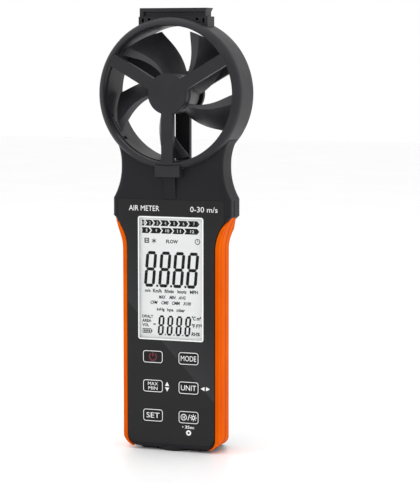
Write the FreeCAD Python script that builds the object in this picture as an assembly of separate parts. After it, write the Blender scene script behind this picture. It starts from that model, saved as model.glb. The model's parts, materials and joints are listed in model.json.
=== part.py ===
# Vane anemometer: a handset with a ducted impeller on top and a sensor pod above the duct.
# Own frame in millimetres: +Z up, front towards -Y, origin on the flat base under the middle.
# The drawing below has its own zero; save() moves every piece to the origin.
import FreeCAD, Part
import math
import os

os.makedirs("parts", exist_ok=True)

Vec = FreeCAD.Vector

# ---- driving dimensions -------------------------------------------------------------------
ring_z = 165.5            # height of the impeller axis
ring_r = 35.0             # outside of the duct ring
throat_r = 31.1           # bore of the duct liner
front_y = -15.15          # front plane of the ring and its spokes
face_y = -10.85           # fascia and neck plane
back_y = 12.3             # back of the handset's deeper lower part
split_y = -5.4            # parting plane of the two case halves
ring_back_y = 4.45        # where the rear guard starts
guard_back_y = 7.85       # back of the rear guard
wall = 1.9                # case wall
base_z = -1.4             # flat base of the rear half and of the tripod boss
front_low_z = 0.0         # the front half stops a little above it
front_round = 2.8         # front edges of the shoulders and the neck
side_round = 6.4          # back edges of the shoulders and the neck
back_round = 6.0          # back edges of the lower part
belly_z = 108.0           # top of the deeper lower part
horn_z = 144.3            # the case ends here beside the duct
body_w = 21.9             # half width of the case along the grips
shoulder_w = 29.2         # half width of the case at the shoulders
neck_w = 25.15            # half width at the neck's narrowest
shoulder_z = 117.0        # top corner of the shoulders
neck_z = 131.5            # height of the neck's narrowest
flare_low_z = 93.3        # the sides flare out to the shoulders from here
flare_high_z = 108.95     # up to here
flare_r = 20.4
corner_r = 4.9            # bottom corners of the front half and the grips
rear_corner_r = 7.4       # bottom corners of the rear half

fascia_t = 0.4            # printed overlay
fascia_top_z = 116.7
fascia_low_z = 2.0
fascia_w = 21.6
fascia_shoulder_w = 26.3

lcd_w = 32.6              # visible width and height of the display
lcd_h = 57.9
lcd_z = 79.85

key_w = 10.2              # key caps
key_h = 6.1
key_r = 1.5
key_x = 8.9
key_rows = (42.9, 29.1, 15.2)
key_gap = 0.15            # clearance of a key cap in its opening
key_travel = 0.35

spoke_angles = (30, 150, 270)
spoke_w = 5.7             # front guard
rear_spoke_w = 7.1
hub_r = 9.5
blade_count = 5
blade_tip_angle = 127.0   # middle of the first blade's tip, anticlockwise from +X seen from the front
blade_r = 30.0
shaft_r = 0.75
bearing_r = 2.4

board_y = -4.2            # front side of the main board
board_t = 1.6

guard_screw_r = 33.2      # circle of the rear guard's screws

pod_w = 17.0              # half width of the sensor pod
pod_front_y = -7.15
pod_back_y = 1.9
pod_step_z = 200.9
pod_top_z = 204.8

to_origin = Vec(0, -(front_y + back_y) / 2, -base_z)


# ---- helpers ------------------------------------------------------------------------------
def box(x0, x1, y0, y1, z0, z1):
    return Part.makeBox(x1 - x0, y1 - y0, z1 - z0, Vec(x0, y0, z0))


def rod_y(radius, y0, y1, x=0.0, z=ring_z):
    return Part.makeCylinder(radius, y1 - y0, Vec(x, y0, z), Vec(0, 1, 0))


def rod_z(radius, z0, z1, x=0.0, y=0.0):
    return Part.makeCylinder(radius, z1 - z0, Vec(x, y, z0), Vec(0, 0, 1))


def tube_y(outer, inner, y0, y1, x=0.0, z=ring_z):
    return rod_y(outer, y0, y1, x, z).cut(rod_y(inner, y0 - 1, y1 + 1, x, z))


def prism(edges, y0, y1):
    """Closed outline in the XZ plane, drawn at y = 0, extruded from y0 to y1."""
    face = Part.Face(Part.Wire(Part.__sortEdges__(edges)))
    face.translate(Vec(0, y0, 0))
    return face.extrude(Vec(0, y1 - y0, 0))


def line(a, b):
    return Part.LineSegment(Vec(a[0], 0, a[1]), Vec(b[0], 0, b[1])).toShape()


def arc(a, m, b):
    return Part.Arc(Vec(a[0], 0, a[1]), Vec(m[0], 0, m[1]), Vec(b[0], 0, b[1])).toShape()


def mirrored(edges):
    return edges + [e.mirror(Vec(0, 0, 0), Vec(1, 0, 0)) for e in edges]


def both_sides(shape):
    return [shape, shape.mirror(Vec(0, 0, 0), Vec(1, 0, 0))]


def rounded_box(w, h, radius, y0, y1, x=0.0, z=0.0):
    """Block of full width w and height h with rounded upright edges along Y."""
    block = box(x - w / 2, x + w / 2, y0, y1, z - h / 2, z + h / 2)
    along = [e for e in block.Edges if abs(e.tangentAt(e.FirstParameter).y) > 0.9]
    return block.makeFillet(radius, along)


def fuse(shapes):
    return shapes[0].multiFuse(shapes[1:]).removeSplitter()


def spun(profile, z=ring_z):
    """Solid of revolution about the impeller axis from a closed (radius, y) outline of edges."""
    face = Part.Face(Part.Wire(Part.__sortEdges__(profile)))
    return face.revolve(Vec(0, 0, z), Vec(0, 1, 0), 360)


def ry(r, y):
    return Vec(r, y, ring_z)


def turned(shape, angle):
    """Turn about the impeller axis, anticlockwise as seen from the front."""
    copy = shape.copy()
    copy.rotate(Vec(0, 0, ring_z), Vec(0, -1, 0), angle)
    return copy


def save(name, shapes):
    solids = []
    for shape in shapes:
        solids += shape.Solids
    out = solids[0] if len(solids) == 1 else Part.makeCompound(solids)
    out = out.copy()
    out.translate(to_origin)
    out.exportStep("parts/" + name + ".step")
    print(f"{name:22s} solids {len(solids):2d}  volume {out.Volume:10.2f}  valid {out.isValid()}")


# ---- handset outline ----------------------------------------------------------------------
def flare(x0, z0, x1, radius):
    """Arc that leaves upright at (x0, z0) and runs out to x1; its upper end comes with it."""
    sweep = math.acos(1 - (x1 - x0) / radius)
    mid = (x0 + radius * (1 - math.cos(sweep / 2)), z0 + radius * math.sin(sweep / 2))
    end = (x1, z0 + radius * math.sin(sweep))
    return arc((x0, z0), mid, end), end


def corner(x, z, radius):
    """Bottom corner, from the floor line round to the side line."""
    c = radius * (1 - math.sqrt(0.5))
    return arc((x - radius, z), (x - c, z + c), (x, z + radius))


def neck_fillet():
    """Centre and radius of the arc that leaves the neck upright and meets the ring tangentially."""
    cz = neck_z + 1.5
    dz = ring_z - cz
    radius = (neck_w ** 2 + dz ** 2 - ring_r ** 2) / (2 * (ring_r - neck_w))
    return neck_w + radius, cz, radius


def neck_side(inset=0.0):
    cx, cz, radius = neck_fillet()
    radius += inset
    reach = math.hypot(cx, ring_z - cz)
    touch = (cx - radius * cx / reach, cz + radius * (ring_z - cz) / reach)
    start = math.pi
    end = math.atan2(touch[1] - cz, touch[0] - cx)
    mid_angle = (start + end) / 2
    mid = (cx + radius * math.cos(mid_angle), cz + radius * math.sin(mid_angle))
    return (cx - radius, cz), mid, touch


def shoulder_arc(inset=0.0):
    """Concave side from the shoulder corner up to the neck's narrowest."""
    dx = shoulder_w - neck_w
    dz = neck_z - shoulder_z
    radius = (dx * dx + dz * dz) / (2 * dx)
    cx = neck_w + radius
    r = radius + inset
    low_z = shoulder_z - inset * 0.6
    low_x = cx - math.sqrt(r * r - (neck_z - low_z) ** 2)
    mid_z = (low_z + neck_z) / 2
    mid_x = cx - math.sqrt(r * r - (neck_z - mid_z) ** 2)
    return (low_x, low_z), (mid_x, mid_z), (cx - r, neck_z)


def case_outline(low_z, inset=0.0, bottom_r=corner_r):
    """Outline of the handset seen from the front, closed across the ring."""
    w = body_w - inset
    sh = shoulder_w - inset
    r = bottom_r - inset
    low, mid, high = shoulder_arc(inset)
    n0, n1, n2 = neck_side(inset)
    side, side_end = flare(w, flare_low_z, sh, flare_r + inset)
    edges = [
        line((0, low_z), (w - r, low_z)),
        corner(w, low_z, r),
        line((w, low_z + r), (w, flare_low_z)),
        side,
        line(side_end, (sh, low[1])),
        line((sh, low[1]), low) if abs(sh - low[0]) > 1e-6 else None,
        arc(low, mid, high),
        line(high, n0),
        arc(n0, n1, n2),
        line(n2, (0, n2[1])),
    ]
    return mirrored([e for e in edges if e is not None])


def fascia_outline(grow=0.0):
    w = fascia_w + grow
    sh = fascia_shoulder_w + grow
    low = fascia_low_z - grow
    top = fascia_top_z + grow
    r = corner_r - 0.6
    side, side_end = flare(w, flare_low_z, sh, flare_r + body_w - w)
    edges = [line((0, low), (w - r, low)), corner(w, low, r), line((w, low + r), (w, flare_low_z))]
    edges += [side, line(side_end, (sh, top)), line((sh, top), (0, top))]
    return mirrored(edges)


def key_places():
    return [(x, z) for z in key_rows for x in (-key_x, key_x)]


# ---- case halves --------------------------------------------------------------------------
cover_posts = [(-14.0, 6.6), (14.0, 6.6), (-23.5, 112.0), (23.5, 112.0)]
post_y = -2.0             # the posts of the two halves meet here
post_backs = (back_y, back_y, guard_back_y, guard_back_y)
head_drop = 4.65          # depth of the screw wells in the back
board_posts = [(-17.0, 12.6), (17.0, 12.6), (-17.0, 45.0), (17.0, 45.0)]
tripod_r = 6.2            # tripod boss inside the case
foot_r = 8.5              # its foot, level with the fascia at the front
foot_top_z = 1.8
tripod_y = face_y + foot_r


def tripod_seat():
    upper = rod_z(tripod_r + 0.05, base_z - 1, base_z + 9.1, 0, tripod_y)
    return upper.fuse(rod_z(foot_r + 0.05, base_z - 1, foot_top_z + 0.05, 0, tripod_y))


def duct_seat():
    return rod_y(ring_r + 0.02, face_y - 1, guard_back_y + 1)


def saddle():
    return rod_y(ring_r + 1.6, face_y - 1, back_y)


def horn_trim():
    return box(-40, 40, face_y - 5, back_y + 5, horn_z, 220)


def front_block():
    """The front half as one solid; only the shoulders and the neck have rounded front edges."""
    body = prism(case_outline(front_low_z), face_y, split_y)
    lower = body.common(box(-40, 40, face_y - 1, split_y + 1, -5, flare_high_z))
    upper = body.common(box(-40, 40, face_y - 1, split_y + 1, flare_high_z, 200))
    edges = [e for e in upper.Edges if abs(e.CenterOfMass.y - face_y) < 1e-4 and abs(e.CenterOfMass.x) > neck_w - 2]
    return fuse([lower, upper.makeFillet(front_round, edges)])


def front_case():
    body = front_block()
    bottom = [e for e in body.Edges if abs(e.CenterOfMass.y - face_y) < 1e-4
              and e.CenterOfMass.z < front_low_z + 1.8]
    body = body.makeFillet(1.9, bottom)
    ridge_face = Part.Face(Part.makePolygon([
        Vec(-spoke_w / 2, face_y, fascia_top_z + 0.4),
        Vec(-spoke_w / 2, face_y - 0.3, fascia_top_z + 0.4),
        Vec(-spoke_w / 2, face_y - 1.6, 127.4),
        Vec(-spoke_w / 2, face_y, 127.4),
        Vec(-spoke_w / 2, face_y, fascia_top_z + 0.4),
    ]))
    ridge = ridge_face.extrude(Vec(spoke_w, 0, 0))
    outer = fuse([body, ridge])
    cavity = prism(case_outline(front_low_z + wall, wall), face_y + wall + 0.6, split_y + 1)
    outer = outer.cut(cavity.cut(saddle()))
    outer = outer.cut(prism(fascia_outline(0.08), face_y - 1, face_y + fascia_t))
    posts = [rod_y(2.1, face_y + wall, board_y - 0.05, x, z) for x, z in board_posts]
    posts += [rod_y(2.4, face_y + wall, post_y, x, z) for x, z in cover_posts]
    outer = fuse([outer] + posts)
    for x, z in board_posts:
        outer = outer.cut(rod_y(0.95, -8.0, board_y + 1, x, z))
    for x, z in cover_posts:
        outer = outer.cut(rod_y(1.15, -8.0, post_y + 1, x, z))
    for x, z in key_places():
        outer = outer.cut(rounded_box(key_w + 2 * key_gap, key_h + 2 * key_gap, key_r,
                                      face_y - 1, face_y + 4, x, z))
    outer = outer.cut(rounded_box(35.1, 60.4, 1.2, face_y - 1, face_y + fascia_t + 0.65, 0, lcd_z))
    outer = outer.cut(box(-18.0, 18.0, face_y + fascia_t + 0.6, face_y + 4, lcd_z - 31.9, lcd_z + 31.9))
    return outer.cut(tripod_seat()).cut(duct_seat()).cut(horn_trim())


def back_edges(shape, y):
    """Edges in the plane y, but for the lowest one and the one across the duct."""
    return [e for e in shape.Edges if abs(e.CenterOfMass.y - y) < 1e-4 and -35 < e.CenterOfMass.z
            and not (abs(e.CenterOfMass.x) < 0.1 and 140 < e.CenterOfMass.z)]


def deep_block(inset, rounding):
    """The deeper lower part of the rear half, drawn in by inset."""
    y = back_y - inset
    block = box(inset - body_w, body_w - inset, split_y, y, -40, belly_z - inset)
    return block.makeFillet(rounding, back_edges(block, y))


def rear_block():
    flat = prism(case_outline(-40.0), split_y, guard_back_y)
    flat = flat.makeFillet(side_round, back_edges(flat, guard_back_y))
    both = fuse([flat, deep_block(0.0, back_round)])
    return both.common(prism(case_outline(base_z, 0.0, rear_corner_r), split_y - 1, back_y + 1))


def rear_cavity():
    """Two steps follow the rounded back edges of the shoulders; the deep part is rounded."""
    low = base_z + wall
    steps = [
        prism(case_outline(low, wall, rear_corner_r), split_y - 1, 2.6),
        prism(case_outline(low, wall + 2.4, rear_corner_r), split_y - 1, guard_back_y - wall),
    ]
    around = prism(case_outline(low, wall, rear_corner_r), split_y, back_y)
    deep = deep_block(wall, back_round - wall).common(around)
    return fuse(steps + [deep]).cut(saddle())


door_w = 15.6             # half width of the battery door
door_low_z = 45.3
door_high_z = 97.0
tongue_z = 101.0          # top of the door's snap tongue
tongue_w = 7.0


def rear_case():
    outer = rear_block().cut(rear_cavity())
    for x in (-shoulder_w, shoulder_w):
        outer = outer.cut(box(x - 0.5, x + 0.5, split_y - 1, split_y + 0.9, flare_high_z - 0.5, shoulder_z - 0.4))
    door_hole = box(-door_w - 0.25, door_w + 0.25, 9, 20, door_low_z - 0.25, door_high_z + 0.25)
    tongue_hole = box(-tongue_w - 0.25, tongue_w + 0.25, 9, 20, door_high_z, tongue_z + 0.25)
    outer = outer.cut(door_hole).cut(tongue_hole)
    posts = [rod_y(3.0, post_y, deep - 1.0, x, z) for (x, z), deep in zip(cover_posts, post_backs)]
    outer = fuse([outer] + posts)
    for (x, z), deep in zip(cover_posts, post_backs):
        outer = outer.cut(rod_y(1.3, post_y - 1, back_y + 1, x, z))
        outer = outer.cut(rod_y(2.5, deep - head_drop, back_y + 1, x, z))
    outer = outer.cut(tripod_seat()).cut(duct_seat()).cut(horn_trim())
    for i in range(4):
        z = 22.0 + 4.0 * i
        outer = outer.cut(box(-11, 11, back_y - 0.7, back_y + 1, z, z + 1.4))
    return outer


def battery_door():
    plate = box(-door_w, door_w, back_y - wall, back_y, door_low_z, door_high_z)
    tongue = box(-tongue_w, tongue_w, back_y - wall, back_y, door_high_z - 1, tongue_z)
    ridge = box(-3, 3, back_y - wall, back_y - wall + 0.6, tongue_z - 1, tongue_z + 0.12)
    tabs = []
    for x in (-11.0, 11.0):
        tabs.append(box(x - 3, x + 3, back_y - wall - 1.3, back_y - wall - 0.15,
                        door_low_z - 1.6, door_low_z + 3))
        tabs.append(box(x - 3, x + 3, back_y - wall - 1.3, back_y - wall + 0.1,
                        door_low_z + 1.2, door_low_z + 3))
    door = fuse([plate, tongue, ridge] + tabs)
    for x in (-tongue_w, tongue_w):
        door = door.cut(box(x - 0.4, x + 0.4, back_y - 3, back_y + 1, door_high_z - 9, door_high_z + 0.5))
    for i in range(5):
        z = 94.0 + 2.0 * i
        door = door.cut(box(-5, 5, back_y - 0.5, back_y + 1, z, z + 0.9))
    return door


def screw(x, z, head_y, head_r, shank_r, length, way):
    """Pan-head screw with a cross recess; way is +1 when the head faces +Y."""
    head_t = head_r * 0.6
    low = min(head_y, head_y - way * head_t)
    head = rod_y(head_r, low, low + head_t, x, z)
    end = head_y - way * (head_t + length)
    start = head_y - way * head_t * 0.5
    shank = rod_y(shank_r, min(start, end), max(start, end), x, z)
    body = head.fuse(shank).removeSplitter()
    depth = head_t * 0.5
    y0 = head_y - depth if way > 0 else head_y - 0.5
    y1 = head_y + 0.5 if way > 0 else head_y + depth
    for w, h in ((head_r * 0.62, 0.16 * head_r), (0.16 * head_r, head_r * 0.62)):
        body = body.cut(box(x - w, x + w, y0, y1, z - h, z + h))
    return body


# ---- fascia, window and keys --------------------------------------------------------------
def fascia_overlay():
    plate = prism(fascia_outline(), face_y, face_y + fascia_t)
    plate = plate.cut(rounded_box(lcd_w, lcd_h, 1.1, face_y - 1, face_y + 1, 0, lcd_z))
    for x, z in key_places():
        plate = plate.cut(rounded_box(key_w + 2 * key_gap, key_h + 2 * key_gap, key_r,
                                      face_y - 1, face_y + 1, x, z))
    return plate


def display_window():
    plug = rounded_box(lcd_w - 0.06, lcd_h - 0.06, 1.07, face_y, face_y + fascia_t + 0.1, 0, lcd_z)
    flange = rounded_box(34.9, 60.2, 1.1, face_y + fascia_t + 0.02, face_y + fascia_t + 0.6, 0, lcd_z)
    return fuse([plug, flange])


def key_cap(x, z):
    cap = rounded_box(key_w, key_h, key_r - 0.05, face_y - 0.05, face_y + 2.8, x, z)
    rim = [e for e in cap.Edges if abs(e.CenterOfMass.y - (face_y - 0.05)) < 1e-4]
    cap = cap.makeFillet(0.12, rim)
    flange = rounded_box(key_w + 1.4, key_h + 1.4, key_r, face_y + wall + 0.75, face_y + wall + 1.4, x, z)
    stem = rod_y(1.5, face_y + wall + 1.2, board_y - 2.4, x, z)
    return fuse([cap, flange, stem])


# ---- side grips ---------------------------------------------------------------------------
grip_front_y = -10.55
grip_back_y = 5.0
grip_t = 2.65
grip_lobes = ((-10.55, -8.5), (-8.5, -2.7), (-2.7, 5.0))
flute = 0.45              # depth of the grooves between the lobes


def grip_section(x, z):
    """Crescent with three lobes, standing on the case's side; x grows outwards, z is upright."""

    def crown(y):
        return grip_t * math.sqrt(1 - ((y + 4.2) / 11.2) ** 2)

    def at(n, y):
        return Vec(x + n, y, z)

    edges = []
    last = at(0.0, grip_front_y)
    for y0, y1 in grip_lobes:
        a = at(crown(y0) - flute, y0)
        m = at(crown((y0 + y1) / 2), (y0 + y1) / 2)
        b = at(crown(y1) - flute, y1)
        if (a - last).Length > 1e-6:
            edges.append(Part.LineSegment(last, a).toShape())
        edges.append(Part.Arc(a, m, b).toShape())
        last = b
    edges.append(Part.LineSegment(last, at(0.0, grip_back_y)).toShape())
    edges.append(Part.LineSegment(at(0.0, grip_back_y), at(0.0, grip_front_y)).toShape())
    return Part.Wire(edges)


def grip_side():
    """The grip's outline seen from the side: a long tongue that runs up to a point."""
    def at(y, z):
        return Vec(0, y, z)

    tip = at(-3.5, 109.3)
    front = at(grip_front_y, 104.0)
    back = at(grip_back_y + 0.2, 98.0)
    edges = [
        Part.LineSegment(at(-12, -3), at(-12, 104.0)).toShape(),
        Part.LineSegment(at(-12, 104.0), front).toShape(),
        Part.Arc(front, at(-9.0, 106.9), tip).toShape(),
        Part.Arc(tip, at(1.4, 106.4), back).toShape(),
        Part.LineSegment(back, at(grip_back_y + 0.2, -3)).toShape(),
        Part.LineSegment(at(grip_back_y + 0.2, -3), at(-12, -3)).toShape(),
    ]
    return Part.Face(Part.Wire(edges)).extrude(Vec(40, 0, 0))


def right_grip():
    gap = 0.02
    x = body_w + gap
    low = front_low_z
    side, side_end = flare(x, flare_low_z, shoulder_w + gap, flare_r - gap)
    spine = Part.Wire([corner(x, low - gap, corner_r), line((x, low - gap + corner_r), (x, flare_low_z)), side])
    section = grip_section(0, 0)
    section.rotate(Vec(0, 0, 0), Vec(0, 1, 0), 90)
    section.translate(Vec(x - corner_r, 0, low - gap))
    sweep = Part.BRepOffsetAPI.MakePipeShell(spine)
    sweep.setBiNormalMode(Vec(0, 1, 0))
    sweep.add(section)
    sweep.build()
    sweep.makeSolid()
    body = sweep.shape()
    out = body_w + grip_t + 0.1
    inner = body_w - 2.85
    bottom_r = 8.2
    taper, taper_end = flare(out, 94.3, shoulder_w + 0.06, 26.4)
    mask = [
        arc((inner + 0.7, low + 0.1), (out - 1.95, low + 2.6), (out, low + bottom_r)),
        line((out, low + bottom_r), (out, 94.3)),
        taper,
        line(taper_end, (shoulder_w - 6, taper_end[1])),
        line((shoulder_w - 6, taper_end[1]), (inner, flare_low_z)),
        line((inner, flare_low_z), (inner, low + 0.1)),
        line((inner, low + 0.1), (inner + 0.7, low + 0.1)),
    ]
    grip = body.common(prism(mask, -20, 20)).common(grip_side())
    return grip.cut(prism(case_outline(base_z, -gap), split_y, back_y))


# ---- duct, guards and impeller ------------------------------------------------------------
liner_pockets = ((199, -9.1, 1.6, 1.6), (210, -8.7, 5.6, 1.2), (221.4, -8.3, 1.6, 3.8))


def pocket(angle, y, long, wide, depth):
    """Small slot into the throat's wall: long is around the throat, wide is along its axis."""
    slot = box(throat_r - 2, throat_r + depth, y - wide / 2, y + wide / 2, ring_z - long / 2, ring_z + long / 2)
    return turned(slot, angle)


def duct_band():
    band = tube_y(ring_r, throat_r + 1.15, face_y, ring_back_y)
    for place in liner_pockets:
        band = band.cut(pocket(*place, 2.9))
    for a in spoke_angles:
        band = band.cut(turned(rod_y(0.55, ring_back_y - 5.0, ring_back_y + 1, guard_screw_r), a + 60))
    return band


def duct_liner():
    liner = tube_y(throat_r + 1.1, throat_r, face_y + 0.05, ring_back_y - 0.05)
    for place in liner_pockets:
        liner = liner.cut(pocket(*place, 2.0))
    return liner


def spoke(angle, half_w, y0, y1, reach):
    arm = box(0, reach, y0, y1, ring_z - half_w, ring_z + half_w)
    return turned(arm, angle)


def front_guard():
    nose = 3.15
    deep = 5.5
    seat = face_y - 0.02
    reach = nose * math.sqrt(1 - ((front_y + deep - seat) / deep) ** 2)
    inner_r = throat_r + 0.4
    nose_r = inner_r + 0.4
    mid_a = math.radians(50)
    outline = [
        Part.Arc(ry(nose_r, front_y),
                 ry(nose_r + nose * math.sin(mid_a), front_y + deep * (1 - math.cos(mid_a))),
                 ry(nose_r + reach, seat)).toShape(),
        Part.LineSegment(ry(nose_r + reach, seat), ry(inner_r, seat)).toShape(),
        Part.LineSegment(ry(inner_r, seat), ry(inner_r, front_y + 0.4)).toShape(),
        Part.Arc(ry(inner_r, front_y + 0.4), ry(inner_r + 0.117, front_y + 0.117), ry(nose_r, front_y)).toShape(),
    ]
    bezel = spun(outline)
    arms = [spoke(a, spoke_w / 2, front_y + 0.05, front_y + 2.85, throat_r + 1.2) for a in spoke_angles]
    hub = rod_y(hub_r, front_y, front_y + 2.8)
    hub = hub.makeChamfer(0.45, [e for e in hub.Edges if abs(e.CenterOfMass.y - front_y) < 1e-4])
    core = rod_y(3.6, front_y + 1, front_y + 3.3)
    foot = box(-6.1, 6.1, front_y + 0.15, seat, 127.4, 133.6)
    foot = foot.cut(rod_y(throat_r + 1.9, front_y - 1, seat + 1))
    guard = fuse([bezel] + arms + [hub, core, foot])
    guard = guard.cut(rod_y(bearing_r + 0.02, front_y + 1.3, front_y + 5))
    return guard


def rear_guard():
    seat = ring_back_y + 0.02
    inner_r = throat_r + 0.3
    outline = [
        Part.LineSegment(ry(inner_r, seat), ry(ring_r, seat)).toShape(),
        Part.Arc(ry(ring_r, seat), ry(ring_r - 0.5, seat + 2.0), ry(ring_r - 1.9, guard_back_y)).toShape(),
        Part.LineSegment(ry(ring_r - 1.9, guard_back_y), ry(inner_r, guard_back_y)).toShape(),
        Part.LineSegment(ry(inner_r, guard_back_y), ry(inner_r, seat)).toShape(),
    ]
    bezel = spun(outline)
    arms = [spoke(a, rear_spoke_w / 2, guard_back_y - 2.65, guard_back_y, throat_r + 1.2) for a in spoke_angles]
    hub = rod_y(hub_r + 1.0, guard_back_y - 2.65, guard_back_y)
    hub = hub.makeChamfer(0.45, [e for e in hub.Edges if abs(e.CenterOfMass.y - guard_back_y) < 1e-4])
    guard = fuse([bezel] + arms + [hub])
    guard = guard.cut(rod_y(bearing_r + 0.02, guard_back_y - 4, guard_back_y - 0.9))
    for a in spoke_angles:
        guard = guard.cut(turned(rod_y(0.6, seat - 1, guard_back_y, guard_screw_r), a + 60))
        guard = guard.cut(turned(rod_y(1.02, guard_back_y - 2.08, guard_back_y + 1, guard_screw_r), a + 60))
    return guard


hub_front_y = -9.5
hub_back_y = 3.0
impeller_y = -3.55
impeller_hub_r = 9.3
lip_pitch = math.radians(15)


def blade_section(radius):
    """Thin bent section, square to the radius: a shallow front lip, a crease, then the steeper panel."""
    share = (radius - impeller_hub_r) / (blade_r - impeller_hub_r)
    across = 7.5 + 10.2 * share + 1.4 * share * share
    along = 12.6
    lip = 0.5 + 4.7 * max(0.0, share) ** 0.8
    swing = math.radians(-31.0) * max(0.0, 1 - share) ** 1.33
    half_t = 0.6 - 0.15 * share
    tangent = Vec(math.cos(swing), 0, math.sin(swing))
    radial = Vec(-math.sin(swing), 0, math.cos(swing))
    origin = radial * radius + Vec(0, impeller_y, ring_z)
    front = (-across / 2, -along / 2)
    crease = (front[0] + lip * math.cos(lip_pitch), front[1] + lip * math.sin(lip_pitch))
    rear = (across / 2, along / 2)
    mid = ((crease[0] + rear[0]) / 2, (crease[1] + rear[1]) / 2)
    panel = math.atan2(rear[1] - crease[1], rear[0] - crease[0])
    bend = (panel + lip_pitch) / 2

    def at(place, pitch, n):
        t = place[0] + n * math.sin(pitch)
        y = place[1] - n * math.cos(pitch)
        return origin + tangent * t + Vec(0, y, 0)

    bow = 0.45
    f0, f1 = at(front, lip_pitch, half_t * 0.6), at(front, lip_pitch, -half_t * 0.6)
    c0, c1 = at(crease, bend, half_t), at(crease, bend, -half_t)
    m0, m1 = at(mid, panel, bow + half_t), at(mid, panel, bow - half_t)
    r0, r1 = at(rear, panel, half_t * 0.9), at(rear, panel, -half_t * 0.9)
    return Part.Wire([
        Part.LineSegment(f0, c0).toShape(),
        Part.Arc(c0, m0, r0).toShape(),
        Part.LineSegment(r0, r1).toShape(),
        Part.Arc(r1, m1, c1).toShape(),
        Part.LineSegment(c1, f1).toShape(),
        Part.LineSegment(f1, f0).toShape(),
    ])


def impeller():
    radii = [7.6, 12.0, 17.0, 22.0, 27.0, 31.2]
    blade = Part.makeLoft([blade_section(r) for r in radii], True, False)
    blade = blade.common(tube_y(blade_r, 8.0, impeller_y - 8, impeller_y + 8))
    step = 360.0 / blade_count
    blades = [turned(blade, blade_tip_angle - 90 - i * step) for i in range(blade_count)]
    hub = rod_y(impeller_hub_r, hub_front_y, hub_back_y)
    hub = hub.makeFillet(1.2, [e for e in hub.Edges if abs(e.CenterOfMass.y - hub_front_y) < 1e-4])
    wheel = fuse([hub] + blades)
    wheel = wheel.cut(rod_y(shaft_r, hub_front_y - 1, hub_back_y + 1))
    wheel = wheel.cut(tube_y(impeller_hub_r - 1.6, 2.6, -6.0, hub_back_y + 1))
    return wheel


# ---- sensor pod ---------------------------------------------------------------------------
def sensor_pod():
    block = box(-pod_w, pod_w, pod_front_y, pod_back_y, 193, pod_step_z)
    block = block.cut(rod_y(ring_r + 0.02, pod_front_y - 1, pod_back_y + 1))
    for x in (-14.9, 14.9):
        block = block.cut(rounded_box(1.0, 2.3, 0.49, pod_front_y - 1, pod_front_y + 3, x, 199.0))
    for x in (-11.8, 11.8):
        block = block.cut(rod_y(0.65, pod_front_y - 1, pod_front_y + 3, x, 199.6))
    return block


def pod_cap():
    w = pod_w - 0.5
    front = pod_front_y + 0.15
    back = pod_back_y - 0.15
    low = pod_step_z + 0.02
    lip_z = pod_top_z - 1.75
    outline = [(-w, lip_z), (-w, pod_top_z), (w, pod_top_z), (w - 0.9, lip_z)]
    lip = prism([line(outline[i], outline[(i + 1) % 4]) for i in range(4)], front, back)
    bar = box(-w, -w + 1.9, front, back, low, lip_z + 0.1)
    core = box(-w + 1, w - 1.0, front + 1.2, back, low, lip_z + 0.1)
    cap = fuse([lip, bar, core])
    return cap.cut(box(-13.2, 13.2, front + 2.2, back - 0.8, low - 1, lip_z - 0.2))


# ---- inner pieces -------------------------------------------------------------------------
def main_board():
    board = box(-18.8, 18.8, board_y, board_y + board_t, 10.0, 114.0)
    for x, z in board_posts:
        board = board.cut(rod_y(1.1, board_y - 1, board_y + 3, x, z))
    return board


def board_parts():
    back = board_y + board_t + 0.02
    chips = [
        box(-5, 5, back, back + 1.4, 31, 41),
        box(8, 14, back, back + 1.2, 33, 38),
        box(-15, -9, back, back + 1.6, 20, 26),
        box(-3, 3, back, back + 1.0, 104, 110),
        box(9, 12.8, back, back + 1.0, 104, 107.8),
    ]
    return chips


def lcd_holder():
    frame = box(-18.2, 18.2, -7.4, board_y - 0.05, lcd_z - 32.4, lcd_z + 32.4)
    frame = frame.cut(box(-16.9, 16.9, -8, board_y + 1, lcd_z - 30.9, lcd_z + 30.9))
    return frame.cut(box(-16.4, 16.4, -8, board_y + 1, lcd_z + 31.0, lcd_z + 32.0))


def tact_switches():
    out = []
    for x, z in key_places():
        base = box(x - 2.3, x + 2.3, board_y - 1.5, board_y - 0.02, z - 2.3, z + 2.3)
        out.append(base.fuse(rod_y(1.2, board_y - 1.95, board_y - 1.2, x, z)).removeSplitter())
    return out


cell_x = (-10.6, 0.0, 10.6)
cell_y = 4.9
cell_r = 5.2
cell_low_z = 49.0
cell_len = 44.5


def battery_tray():
    tray = box(-17.4, 17.4, -1.3, 8.35, 46.0, 96.2)
    return tray.cut(box(-16.6, 16.6, -0.6, 14, 46.8, 95.4))


def battery_cells():
    cells = []
    for i, x in enumerate(cell_x):
        can = rod_z(cell_r, cell_low_z, cell_low_z + cell_len - 1.0, x, cell_y)
        can = can.makeFillet(0.5, [e for e in can.Edges if e.Length > 20 and e.Curve.TypeId == "Part::GeomCircle"])
        nib_low = cell_low_z + cell_len - 1.2 if i % 2 == 0 else cell_low_z - 0.9
        nib = rod_z(1.8, nib_low, nib_low + 1.2, x, cell_y)
        cells.append(can.fuse(nib).removeSplitter())
    return cells


def battery_contacts():
    """Bent strips at each end of each cell."""
    strips = []
    for x in cell_x:
        for z, way in ((47.0, 1), (95.2, -1)):
            plate = box(x - 4, x + 4, 0.9, 8.3, min(z, z + way * 0.3), max(z, z + way * 0.3))
            bump = rod_z(1.2, min(z, z + way * 0.75), max(z, z + way * 0.75), x, cell_y)
            strips.append(plate.fuse(bump).removeSplitter())
    return strips


def tripod_boss():
    foot = rod_z(foot_r, base_z, foot_top_z, 0, tripod_y)
    foot = foot.makeChamfer(0.9, [e for e in foot.Edges if e.CenterOfMass.z < base_z + 0.01 and e.Length > 20])
    boss = fuse([foot, rod_z(tripod_r, base_z, base_z + 9.0, 0, tripod_y)])
    return boss.cut(rod_z(4.03, base_z - 1, base_z + 8.0, 0, tripod_y))


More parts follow.
